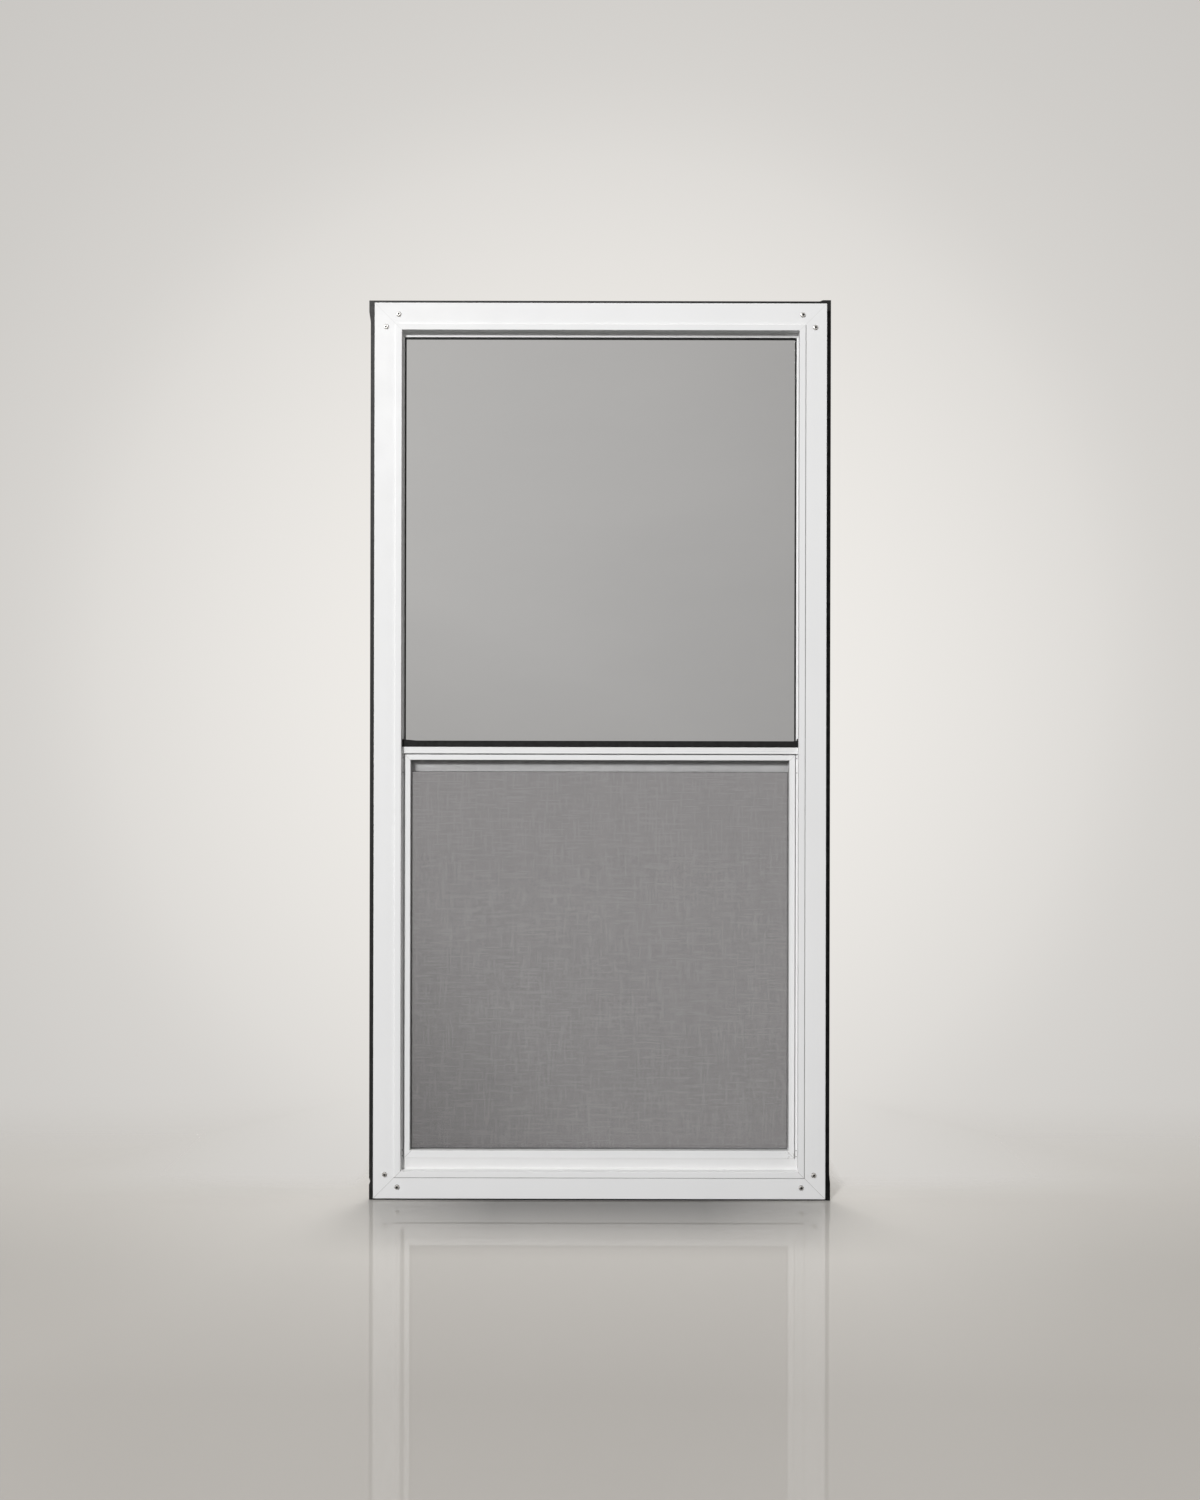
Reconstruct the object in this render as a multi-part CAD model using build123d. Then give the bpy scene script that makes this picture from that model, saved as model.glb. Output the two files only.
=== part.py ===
from build123d import *
import os

# A storm window: a flanged aluminium frame, a fixed upper light, a lift-out screen and an inner glass sash.
# Millimetres; X runs to the right seen from the front, Y into the wall, Z up; Y = 0 is the wall's face.
# In a section, u is the distance inward from the frame's outer edge and y is the depth.

# Frame face
FRAME_W = 610.0
FRAME_H = 1208.0
WALL = 1.5
FLANGE_T = 1.6
FACE_W = 28.9
LIP_W = 8.1
LIP_RISE = 2.0
LIP_ROUND = 0.5
REVEAL_DEPTH = 11.6

# Frame body behind the face
BODY_INSET = 25.0
POCKET_T = 6.0
POCKET_DEPTH = 7.4
JAMB_LEG = 2.4
HEAD_LEG = 6.4
SILL_RISE = 15.0
STOP_OVER_LEG = 0.8
TRACK_SPACE = 3.2
TRACK_LAND = 1.8
REAR_LAND = 0.2
PLAY = 0.6

# Wall seal
SEAL_T = 4.0
SEAL_REACH = 9.4
SEAL_OVER_SIDE = 5.5
SEAL_OVER_TOP = 3.3
SEAL_OVER_FOOT = 2.0

# Corner keys and their screws
RIB_W = 1.2
RIB_H = 2.5
KEY_W = 11.2
KEY_T = 2.4
KEY_LEG = 52.0
SCREW_ACROSS = 15.6
SCREW_ALONG = 32.5
SCREW_HOLE = 4.0

# Meeting bar, its foot a little below the frame's middle
BAR_DROP = 3.7
BAR_H = 8.8
BAR_FRONT = 8.0
BAR_STOP_OVER = 3.0
BAR_GROOVE = 0.5
MEETING_SEAL_H = 8.6

# Glass and its gaskets
GLASS_T = 3.0
GASKET_WEB = 1.5
GASKET_SIGHT = 1.6

# Screen
SCREEN_T = 7.9
SCREEN_GAP = 1.0
SCREEN_TOP_GAP = 1.5
SCREEN_SIDE_W = 7.8
SCREEN_TOP_W = 7.3
SCREEN_FOOT_W = 10.2
SCREEN_WALL = 1.0
TONGUE_T = 1.5
TONGUE_SIDE = 6.5
TONGUE_TOP = 1.1
TONGUE_FOOT = 6.0
SPLINE_W = 3.2
SPLINE_LAND = 2.0
SPLINE_DEPTH = 3.2
MESH_T = 0.3

# Inner sash
SASH_T = 12.5
SASH_WALL = 1.3
SASH_SIDE_PLAY = 1.2
STILE_W = 18.8
TOP_RAIL_W = 25.0
FOOT_RAIL_W = 31.5
GLAZING_DEPTH = 6.0
SASH_SIGHT = 1.2
LIFT_REACH = 7.0
LIFT_LIP = 3.0
LATCH_L = 34.0
LATCH_H = 11.0
LATCH_T = 4.2

# Depths, front to back
Y_FACE = -SEAL_T - FLANGE_T
Y_LIP = Y_FACE - LIP_RISE
Y_LEG = Y_LIP + REVEAL_DEPTH
Y_POCKET = Y_LEG + WALL
Y_STOP = Y_POCKET + POCKET_T
Y_STOP_BACK = Y_STOP + WALL
Y_TRACK_FIN = Y_STOP_BACK + TRACK_SPACE
Y_SASH = Y_TRACK_FIN + WALL + PLAY
Y_SASH_BACK = Y_SASH + SASH_T
Y_REAR = Y_SASH_BACK + PLAY
Y_BACK = Y_REAR + WALL
Y_BAR = Y_LIP + BAR_FRONT
Y_SCREEN = Y_STOP - SCREEN_T

# Distances inward from the frame's outer edge
U_LIP = FACE_W + LIP_W
U_LEG = U_LIP + JAMB_LEG
U_STOP = U_LEG + STOP_OVER_LEG
U_POCKET = U_LEG - POCKET_DEPTH
U_HEAD = U_LIP + HEAD_LEG
U_SILL = U_LIP + SILL_RISE
U_FLOOR = BODY_INSET + WALL
U_SCREEN = U_LEG + SCREEN_GAP

# Heights
BAR_Z = FRAME_H / 2 - BAR_DROP
BAR_TOP = BAR_Z + BAR_H
SCREEN_TOP = BAR_Z - SCREEN_TOP_GAP
HALF_W = FRAME_W / 2


def wall(u0, u1, y0, y1):
    """One straight wall of a section."""
    return Pos((u0 + u1) / 2, (y0 + y1) / 2) * Rectangle(u1 - u0, y1 - y0)


def block(x0, x1, y0, y1, z0, z1):
    """A plain block between two corners."""
    return Pos((x0 + x1) / 2, (y0 + y1) / 2, (z0 + z1) / 2) * Box(x1 - x0, y1 - y0, z1 - z0)


def plate(points, y0, y1):
    """A flat plate with a front outline of x, z points, from depth y0 to y1."""
    outline = make_face(Polyline(*points, close=True))
    return Pos(0, y0, 0) * extrude(Plane.XZ * outline, amount=-(y1 - y0))


def rounded(section, corners, radius):
    """The section with the named corners rounded."""
    picked = []
    for vertex in section.vertices():
        for u, y in corners:
            if abs(vertex.X - u) < 0.01 and abs(vertex.Y - y) < 0.01:
                picked.append(vertex)
    return fillet(picked, radius)


def laid(section, side, outline):
    """A section run along one side of a rectangle, its u axis pointing inward."""
    x0, x1, z0, z1 = outline
    if side == "bottom":
        return Pos(x1, 0, z0) * Rot(0, -90, 0) * extrude(section, amount=x1 - x0)
    if side == "top":
        return Pos(x0, 0, z1) * Rot(0, 90, 0) * extrude(section, amount=x1 - x0)
    bar = Pos(x0, 0, z0) * extrude(section, amount=z1 - z0)
    return bar if side == "left" else mirror(bar, about=Plane.YZ)


def inset(outline, left, right, foot, top):
    """A rectangle moved inward on its four sides."""
    x0, x1, z0, z1 = outline
    return (x0 + left, x1 - right, z0 + foot, z1 - top)


def mitred(section, side, outer, inner):
    """A section run along one side and cut from the outer corners to the inner ones."""
    ox0, ox1, oz0, oz1 = outer
    ix0, ix1, iz0, iz1 = inner
    quads = {
        "left": [(ox0, oz0), (ix0, iz0), (ix0, iz1), (ox0, oz1)],
        "right": [(ox1, oz0), (ix1, iz0), (ix1, iz1), (ox1, oz1)],
        "bottom": [(ox0, oz0), (ix0, iz0), (ix1, iz0), (ox1, oz0)],
        "top": [(ox0, oz1), (ix0, iz1), (ix1, iz1), (ox1, oz1)],
    }
    return laid(section, side, outer) & plate(quads[side], Y_LIP - 10, Y_BACK + 20)


SIDES = ("left", "right", "bottom", "top")
FRAME = (-HALF_W, HALF_W, 0.0, FRAME_H)


# Main frame: one extrusion, mitred at four corners, with longer legs at the head and the sill
def frame_section():
    section = wall(0, FACE_W + WALL, Y_FACE, -SEAL_T)
    section += wall(FACE_W, U_LIP, Y_LIP, Y_LIP + WALL)
    section += wall(FACE_W, FACE_W + WALL, Y_LIP, -SEAL_T)
    section += wall(U_LIP - WALL, U_LIP, Y_LIP, Y_POCKET)
    section += wall(U_POCKET - WALL, U_LEG, Y_LEG, Y_POCKET)
    section += wall(U_POCKET - WALL, U_POCKET, Y_LEG, Y_STOP_BACK)
    section += wall(BODY_INSET, U_STOP, Y_STOP, Y_STOP_BACK)
    section += wall(BODY_INSET, BODY_INSET + WALL, Y_FACE, Y_BACK)
    section += wall(BODY_INSET, U_LIP + TRACK_LAND, Y_TRACK_FIN, Y_TRACK_FIN + WALL)
    section += wall(BODY_INSET, U_LIP + REAR_LAND, Y_REAR, Y_BACK)
    section += wall(SEAL_REACH, SEAL_REACH + RIB_W, -SEAL_T, RIB_H - SEAL_T)
    inner_rib = SEAL_REACH + RIB_W + KEY_W
    section += wall(inner_rib, inner_rib + RIB_W, -SEAL_T, RIB_H - SEAL_T)
    return rounded(section, [(FACE_W, Y_LIP), (U_LIP, Y_LIP), (0, Y_FACE), (U_LEG, Y_LEG)], LIP_ROUND)


def screw_places():
    """The eight corner screws as x, z points: one through each member at each corner."""
    places = []
    for side_x in (-1, 1):
        for foot in (True, False):
            for along, across in ((SCREW_ALONG, SCREW_ACROSS), (SCREW_ACROSS, SCREW_ALONG)):
                z = across if foot else FRAME_H - across
                places.append((side_x * (HALF_W - along), z))
    return places


def drilled(shape, places, diameter):
    for x, z in places:
        shape -= Pos(x, Y_FACE, z) * Rot(90, 0, 0) * Cylinder(diameter / 2, 20)
    return shape


def frame_members():
    section = frame_section()
    inner = inset(FRAME, U_STOP, U_STOP, U_STOP, U_STOP)
    members = {side: mitred(section, side, FRAME, inner) for side in SIDES}
    leg_x = HALF_W - U_LEG
    stop_x = HALF_W - U_STOP
    members["top"] += block(-leg_x, leg_x, Y_LEG, Y_POCKET, FRAME_H - U_HEAD, FRAME_H - U_LEG)
    members["bottom"] += block(-leg_x, leg_x, Y_LEG, Y_POCKET, U_LEG, U_SILL)
    members["bottom"] += block(-stop_x, stop_x, Y_STOP, Y_STOP_BACK, U_STOP, U_SILL + 2 * WALL)
    return {side: drilled(shape, screw_places(), SCREW_HOLE) for side, shape in members.items()}


# Corner keys: L plates in the channel behind the flange
def corner_key():
    u0 = SEAL_REACH + RIB_W
    u1 = u0 + KEY_W
    x = -HALF_W
    tip = u0 + KEY_LEG
    points = [(x + u0, u0), (x + tip, u0), (x + tip, u1), (x + u1, u1), (x + u1, tip), (x + u0, tip)]
    key = plate(points, -SEAL_T, KEY_T - SEAL_T)
    return drilled(key, screw_places(), SCREW_HOLE - 0.8)


# Wall seal: four soft strips behind the flange, cut by hand, so two ends flare and one is nicked
def wall_seals():
    x_in = HALF_W - SEAL_REACH
    x_out = HALF_W + SEAL_OVER_SIDE
    z_foot = -SEAL_OVER_FOOT
    z_top = FRAME_H + SEAL_OVER_TOP
    flare = 2.0
    left = [(-x_in, z_foot), (-x_out, z_foot), (-x_out, 18), (-x_out + 1.5, 23), (-x_out, 28)]
    left += [(-x_out, FRAME_H - 26), (-x_out - flare, FRAME_H - 12), (-x_out - flare, z_top), (-x_in, z_top)]
    right = [(x_in, z_foot), (x_out + 1.2, z_foot), (x_out + 1.2, 20), (x_out, 34)]
    right += [(x_out, FRAME_H - SEAL_REACH), (x_in, FRAME_H - SEAL_REACH)]
    top = [(-x_in, FRAME_H - SEAL_REACH), (-x_in, z_top), (x_in, z_top), (x_in + 4, z_top + flare - 0.3)]
    top += [(x_out, z_top + flare - 0.3), (x_out, FRAME_H - SEAL_REACH)]
    foot = [(-x_in, z_foot), (x_in, z_foot), (x_in, SEAL_REACH), (-x_in, SEAL_REACH)]
    return {
        "left": plate(left, -SEAL_T, 0),
        "right": plate(right, -SEAL_T, 0),
        "top": plate(top, -SEAL_T, 0),
        "bottom": plate(foot, -SEAL_T, 0),
    }


# Meeting bar: a channel across the middle that carries the upper light and its front seal
def meeting_bar():
    stop_x = HALF_W - U_STOP
    lip_x = HALF_W - U_LIP
    section = wall(Y_BAR, Y_BAR + WALL, BAR_Z, BAR_TOP)
    section += wall(Y_BAR, Y_STOP_BACK, BAR_Z, BAR_Z + WALL)
    section += wall(Y_LEG, Y_POCKET, BAR_Z, BAR_TOP)
    section += wall(Y_STOP, Y_STOP_BACK, BAR_Z, BAR_TOP + BAR_STOP_OVER)
    section = rounded(section, [(Y_BAR, BAR_Z), (Y_BAR, BAR_TOP)], 0.5)
    for share in (0.38, 0.72):
        z = BAR_Z + BAR_H * share
        section -= wall(Y_BAR - 1, Y_BAR + 0.3, z - BAR_GROOVE / 2, z + BAR_GROOVE / 2)
    whole = Pos(-lip_x, 0, 0) * extrude(Plane.YZ * section, amount=2 * lip_x)
    for side_x in (-1, 1):
        x0, x1 = sorted((side_x * stop_x, side_x * (lip_x + 1)))
        whole -= block(x0, x1, Y_LEG, Y_STOP_BACK + 1, BAR_Z - 1, BAR_TOP + BAR_STOP_OVER + 1)
    return whole


def meeting_seal():
    lip_x = HALF_W - U_LIP
    stop_x = HALF_W - U_STOP
    top = BAR_TOP + MEETING_SEAL_H
    y0 = Y_BAR + 0.2
    bead = wall(y0, Y_LEG, BAR_TOP, top)
    bead = rounded(bead, [(y0, top), (y0, BAR_TOP)], 1.6)
    seal = Pos(-lip_x, 0, 0) * extrude(Plane.YZ * bead, amount=2 * lip_x)
    seal += block(-stop_x, stop_x, Y_BAR + WALL, Y_LEG, BAR_Z + WALL, BAR_TOP + 1)
    seal += plate([(-lip_x, top - 2), (-lip_x + 40, top - 2), (-lip_x, top + 1.8)], y0 + 0.8, Y_LEG)
    tail = [(lip_x - 2.6, top - 2), (lip_x, top - 2), (lip_x, top + 3.2), (lip_x - 1.2, top + 3.2)]
    seal += plate(tail, y0 + 0.8, Y_LEG)
    return seal


# Glazing: a U gasket on each edge of a pane
def gasket_section(width, y0, y1):
    edge = (y1 - y0 - GLASS_T) / 2
    section = wall(0, GASKET_WEB, y0, y1)
    section += wall(0, width, y0, y0 + edge)
    section += wall(0, width, y1 - edge, y1)
    return section


def glazed(outer, widths, y0, y1):
    """The pane and its four gasket strips, for an outer rectangle and the strips' widths."""
    inner = inset(outer, *widths)
    strips = {}
    for side, width in zip(SIDES, widths):
        strips[side] = mitred(gasket_section(width, y0, y1), side, outer, inner)
    x0, x1, z0, z1 = inset(outer, *(GASKET_WEB,) * 4)
    middle = (y0 + y1) / 2
    pane = block(x0, x1, middle - GLASS_T / 2, middle + GLASS_T / 2, z0, z1)
    return pane, strips


def upper_light():
    edge = HALF_W - U_POCKET
    outer = (-edge, edge, BAR_Z + WALL, FRAME_H - U_POCKET)
    side = U_LEG + GASKET_SIGHT - U_POCKET
    head = U_HEAD + GASKET_SIGHT - U_POCKET
    return glazed(outer, (side, side, BAR_H, head), Y_POCKET, Y_STOP)


# Screen: a mitred frame with a tongue into the frame's pocket, a spline groove behind and the cloth
def screen_section(width):
    section = wall(0, width, Y_SCREEN, Y_STOP)
    groove = width - SPLINE_LAND - SPLINE_W
    section -= wall(groove, groove + SPLINE_W, Y_STOP - SPLINE_DEPTH, Y_STOP + 1)
    section -= wall(width - SPLINE_LAND, width + 1, Y_STOP - 2 * MESH_T, Y_STOP + 1)
    hollow_y = Y_STOP - SPLINE_DEPTH - SCREEN_WALL
    section -= wall(SCREEN_WALL, width - SCREEN_WALL, Y_SCREEN + SCREEN_WALL, hollow_y)
    return rounded(section, [(0, Y_SCREEN), (width, Y_SCREEN)], 0.6)


def spline_section(width):
    u1 = width - SPLINE_LAND
    u0 = u1 - SPLINE_W
    y1 = Y_STOP - MESH_T
    return rounded(wall(u0, u1, Y_STOP - SPLINE_DEPTH, y1), [(u0, y1), (u1, y1)], 0.8)


def screen():
    edge = HALF_W - U_SCREEN
    widths = (SCREEN_SIDE_W, SCREEN_SIDE_W, SCREEN_FOOT_W, SCREEN_TOP_W)
    outer = (-edge, edge, U_SILL, SCREEN_TOP)
    inner = inset(outer, *widths)
    rails = {s: mitred(screen_section(w), s, outer, inner) for s, w in zip(SIDES, widths)}
    y0 = Y_STOP - TONGUE_T
    rails["left"] += block(-edge - TONGUE_SIDE, -edge, y0, Y_STOP, U_SILL, SCREEN_TOP)
    rails["right"] += block(edge, edge + TONGUE_SIDE, y0, Y_STOP, U_SILL, SCREEN_TOP)
    rails["bottom"] += block(-edge, edge, y0, Y_STOP, U_SILL - TONGUE_FOOT, U_SILL)
    rails["top"] += block(-edge, edge, y0, Y_STOP, SCREEN_TOP, SCREEN_TOP + TONGUE_TOP)
    splines = {s: mitred(spline_section(w), s, outer, inner) for s, w in zip(SIDES, widths)}
    x0, x1, z0, z1 = inset(inner, *(-SPLINE_LAND,) * 4)
    cloth = block(x0, x1, Y_STOP - 2 * MESH_T, Y_STOP - MESH_T, z0, z1)
    return rails, splines, cloth


# Inner sash: stiles the full height, rails between them, a finger lift on the foot rail and two latches
def sash_section(width):
    groove = width - GLAZING_DEPTH
    section = wall(0, width, Y_SASH, Y_SASH_BACK)
    section -= wall(groove, width + 1, Y_SASH + SASH_WALL, Y_SASH_BACK - SASH_WALL)
    hollow = (SASH_WALL, groove - SASH_WALL, Y_SASH + SASH_WALL, Y_SASH_BACK - SASH_WALL)
    return section - wall(*hollow)


def sash():
    edge = HALF_W - U_FLOOR - SASH_SIDE_PLAY
    outer = (-edge, edge, U_FLOOR, BAR_Z + 0.6)
    rail_box = inset(outer, STILE_W, STILE_W, 0, 0)
    foot = sash_section(FOOT_RAIL_W)
    shelf = FOOT_RAIL_W - 3.5
    foot += wall(shelf, shelf + SASH_WALL, Y_SASH_BACK - SASH_WALL, Y_SASH_BACK + LIFT_REACH)
    lip_y = Y_SASH_BACK + LIFT_REACH
    foot += wall(shelf, shelf + LIFT_LIP, lip_y - SASH_WALL, lip_y)
    rails = {
        "left": laid(sash_section(STILE_W), "left", outer),
        "right": laid(sash_section(STILE_W), "right", outer),
        "bottom": laid(foot, "bottom", rail_box),
        "top": laid(sash_section(TOP_RAIL_W), "top", rail_box),
    }
    seat = [w - GLAZING_DEPTH for w in (STILE_W, STILE_W, FOOT_RAIL_W, TOP_RAIL_W)]
    strip = GLAZING_DEPTH + SASH_SIGHT
    y0 = Y_SASH + SASH_WALL
    pane, strips = glazed(inset(outer, *seat), (strip,) * 4, y0, Y_SASH_BACK - SASH_WALL)
    return rails, pane, strips


def sash_latch():
    x0 = -(HALF_W - U_FLOOR - SASH_SIDE_PLAY - STILE_W)
    z0 = U_FLOOR + (FOOT_RAIL_W - LATCH_H) / 2 + 2
    body = block(x0, x0 + LATCH_L, Y_SASH_BACK, Y_SASH_BACK + LATCH_T, z0, z0 + LATCH_H)
    body = fillet(body.faces().sort_by(Axis.Y)[-1].edges(), 1.2)
    thumb = block(x0 + 12, x0 + 17, Y_SASH_BACK, Y_SASH_BACK + LATCH_T + 2.6, z0 + 2, z0 + LATCH_H - 2)
    return body + thumb


def save(name, shape):
    export_step(shape, "parts/" + name + ".step")


os.makedirs("parts", exist_ok=True)

FRAME_NAMES = {"left": "frame_jamb_left", "right": "frame_jamb_right", "bottom": "frame_sill", "top": "frame_head"}
for side, shape in frame_members().items():
    save(FRAME_NAMES[side], shape)

key = corner_key()
key_top = mirror(key, about=Plane.XY.offset(FRAME_H / 2))
save("corner_key_bottom_left", key)
save("corner_key_top_left", key_top)
save("corner_key_bottom_right", mirror(key, about=Plane.YZ))
save("corner_key_top_right", mirror(key_top, about=Plane.YZ))

for side, shape in wall_seals().items():
    save("wall_seal_" + side, shape)

save("meeting_bar", meeting_bar())
save("meeting_bar_seal", meeting_seal())

pane, strips = upper_light()
save("upper_glass", pane)
for side, shape in strips.items():
    save("upper_gasket_" + side, shape)

rails, splines, cloth = screen()
for side, shape in rails.items():
    save("screen_rail_" + side, shape)
for side, shape in splines.items():
    save("screen_spline_" + side, shape)
save("screen_mesh", cloth)

rails, pane, strips = sash()
for side, shape in rails.items():
    save("sash_rail_" + side, shape)
save("sash_glass", pane)
for side, shape in strips.items():
    save("sash_gasket_" + side, shape)

latch = sash_latch()
save("sash_latch_left", latch)
save("sash_latch_right", mirror(latch, about=Plane.YZ))
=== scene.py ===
import math

import bmesh
import bpy
from mathutils import Matrix, Vector


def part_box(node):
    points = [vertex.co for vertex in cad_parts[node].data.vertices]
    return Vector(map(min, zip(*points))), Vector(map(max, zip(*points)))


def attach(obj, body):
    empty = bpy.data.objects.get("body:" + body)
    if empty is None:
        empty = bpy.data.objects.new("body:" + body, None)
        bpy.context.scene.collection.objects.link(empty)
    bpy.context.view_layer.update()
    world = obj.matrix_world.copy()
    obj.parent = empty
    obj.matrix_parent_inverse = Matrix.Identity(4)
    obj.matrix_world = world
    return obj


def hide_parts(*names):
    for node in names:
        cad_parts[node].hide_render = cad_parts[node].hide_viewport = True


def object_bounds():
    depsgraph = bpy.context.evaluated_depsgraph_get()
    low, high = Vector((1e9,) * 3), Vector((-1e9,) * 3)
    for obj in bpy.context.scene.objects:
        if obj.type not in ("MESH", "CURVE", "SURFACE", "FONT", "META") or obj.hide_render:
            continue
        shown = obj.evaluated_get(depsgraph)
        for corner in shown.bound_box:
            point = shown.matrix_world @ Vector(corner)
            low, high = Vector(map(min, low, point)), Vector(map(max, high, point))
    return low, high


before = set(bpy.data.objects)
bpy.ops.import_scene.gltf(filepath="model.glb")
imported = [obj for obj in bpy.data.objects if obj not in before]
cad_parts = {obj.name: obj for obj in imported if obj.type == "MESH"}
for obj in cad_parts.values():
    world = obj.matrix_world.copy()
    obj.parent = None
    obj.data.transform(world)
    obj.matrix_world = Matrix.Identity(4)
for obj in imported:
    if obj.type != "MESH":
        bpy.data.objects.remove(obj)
CAD_BOX = [list(corner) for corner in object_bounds()]

bl_info = {
    "name": "Storm window dressing",
    "version": (1, 0, 0),
    "blender": (4, 5, 0),
    "location": "3D View > Sidebar > Storm window",
    "description": "Finishes, fastenings, screen cloth and studio for a flanged storm window",
    "category": "Object",
}

MM = 0.001
BODY = "root"
SIDES = ("left", "right", "bottom", "top")
INWARD, UPWARD = (0.0, 1.0, 0.0), (0.0, 0.0, 1.0)
WHITE, BLACK = (1.0, 1.0, 1.0), (0.0, 0.0, 0.0)
SCREW_SEGMENTS, PIN_SEGMENTS, THREAD_SIDES = 28, 16, 6
SCREW_SEED, PIN_SEED = 7, 3
PICTURE_HEIGHT = 1500.0  # pixels, which the picture scale counts

# The frame's section, as the solids have it
LIP_RISE = 2.0 * MM  # face to the front of the lip
REVEAL_DEPTH = 11.6 * MM  # front of the lip to the jamb legs
LIP_INSET = 37.0 * MM  # outer edge to the lip's inner edge
STEP_INSET = 28.9 * MM  # outer edge to the foot of the lip's step
SKIN = 0.1 * MM  # how far a painted line reaches behind its face

# Planes and edges taken from the solids
LEFT_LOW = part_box("frame_jamb_left")[0]
RIGHT_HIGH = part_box("frame_jamb_right")[1]
SILL_LOW, SILL_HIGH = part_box("frame_sill")
HEAD_LOW, HEAD_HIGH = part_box("frame_head")
CLOTH_LOW, CLOTH_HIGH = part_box("screen_mesh")
LIP_Y = LEFT_LOW.y
FACE_Y = LIP_Y + LIP_RISE
FACE_LEFT, FACE_RIGHT = LEFT_LOW.x, RIGHT_HIGH.x
FACE_FOOT, FACE_TOP = SILL_LOW.z, HEAD_HIGH.z
FACE_MIDDLE = (FACE_FOOT + FACE_TOP) / 2
FLOOR_Z = CAD_BOX[0][2]

# Brightness of the backdrop by how straight ahead it lies, and its tint
BACKDROP_AHEAD = (0.0, 0.9980, 0.063)
BACKDROP_STOPS = ((0.0, 0.56), (0.83, 0.58), (0.886, 0.63), (0.917, 0.665), (0.938, 0.73), (0.972, 0.825), (1.0, 0.885))
BACKDROP_TINT = (1.0, 0.972, 0.932)


def length(label, text, default):
    """A length property in metres."""
    return bpy.props.FloatProperty(
        name=label, description=text, default=default, min=0.0, precision=5, unit="LENGTH"
    )


def colour(label, text, default):
    """A linear colour property."""
    return bpy.props.FloatVectorProperty(
        name=label, description=text, default=default, min=0.0, max=1.0, size=3, subtype="COLOR"
    )


def power(label, text, default):
    """A lamp's power in watts."""
    return bpy.props.FloatProperty(name=label, description=text, default=default, min=0.0, subtype="POWER")


class StormSizes(bpy.types.PropertyGroup):
    """Sizes of what the solids leave out."""

    screw_head: length("Screw head", "Diameter of a corner screw's pan head", 6.8 * MM)
    screw_rise: length("Screw rise", "Height of a corner screw's head above the face", 1.9 * MM)
    screw_shank: length("Screw shank", "Diameter of a corner screw's shank", 3.1 * MM)
    screw_reach: length("Screw reach", "Length of a corner screw's shank", 4.6 * MM)
    screw_across: length("Screw inset", "Screw to the member's outer edge", 15.6 * MM)
    screw_along: length("Screw distance", "Screw to the corner along the member", 32.5 * MM)
    joint_line: length("Joint line", "Width of the hairline at a mitred corner", 0.25 * MM)
    # Width of the painted shadow line at the foot of the lip's step
    step_line: length("Step line", "Width of the grime at the foot of the lip's step", 1.0 * MM)
    pin_head: length("Pin head", "Diameter of a pin on the jamb legs", 1.3 * MM)
    thread: length("Thread", "Diameter of a thread of the insect cloth", 0.25 * MM)
    pitch_across: length("Pitch across", "Spacing of the upright threads", 1.41 * MM)
    pitch_up: length("Pitch up", "Spacing of the level threads", 1.59 * MM)


class StormColours(bpy.types.PropertyGroup):
    """Colours of the finishes, linear."""

    paint: colour("Paint", "White powder coat of the frame", (0.86, 0.86, 0.86))
    paint_shade: colour("Paint shade", "Tone the coat drifts to", (0.835, 0.835, 0.835))
    # The speck tone also serves as painted shade in the sill's recess behind the lip
    speck_and_shade: colour("Specks", "Dust caught in the coat", (0.42, 0.41, 0.39))
    # Painted shade at the foot of the lip's step and on the head's leg, where the frame's own shadows fall
    painted_shade: colour("Painted shade", "Shade at the foot of the lip's step and on the head's leg", (0.16, 0.155, 0.15))
    rubber: colour("Rubber", "Seals and gaskets", (0.006, 0.006, 0.006))
    # The worn rubber tone also serves as painted shade in the screws' recesses and at their seats
    rubber_dust_and_shade: colour("Worn rubber", "Dusty parts of the rubber", (0.016, 0.016, 0.016))
    vinyl: colour("Vinyl", "Glazing bead of the inner sash", (0.58, 0.58, 0.575))
    vinyl_worn: colour("Worn vinyl", "Dusty parts of the bead", (0.47, 0.465, 0.455))
    # The pane tints below are the ends of painted shading across each pane
    glass_light: colour("Glass light", "Tint of the upper pane at its lighter end", (0.566, 0.573, 0.583))
    glass_dark: colour("Glass dark", "Tint of the upper pane at its darker end", (0.303, 0.309, 0.320))
    sash_glass_light: colour("Sash glass light", "Tint of the inner pane at its lighter end", (0.374, 0.371, 0.387))
    sash_glass_dark: colour("Sash glass dark", "Tint of the inner pane at its darker end", (0.394, 0.391, 0.407))
    cloth: colour("Cloth", "Insect cloth", (0.086, 0.083, 0.0845))
    cloth_worn: colour("Worn cloth", "Dusty threads", (0.096, 0.093, 0.094))
    cloth_streak: colour("Cloth streaks", "Paler threads that run through the cloth", (0.164, 0.162, 0.165))
    mill: colour("Mill metal", "Corner keys", (0.60, 0.60, 0.61))
    zinc: colour("Zinc", "Screws", (0.66, 0.65, 0.63))
    latch: colour("Latch", "Latch and pin plastic", (0.03, 0.03, 0.032))


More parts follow.
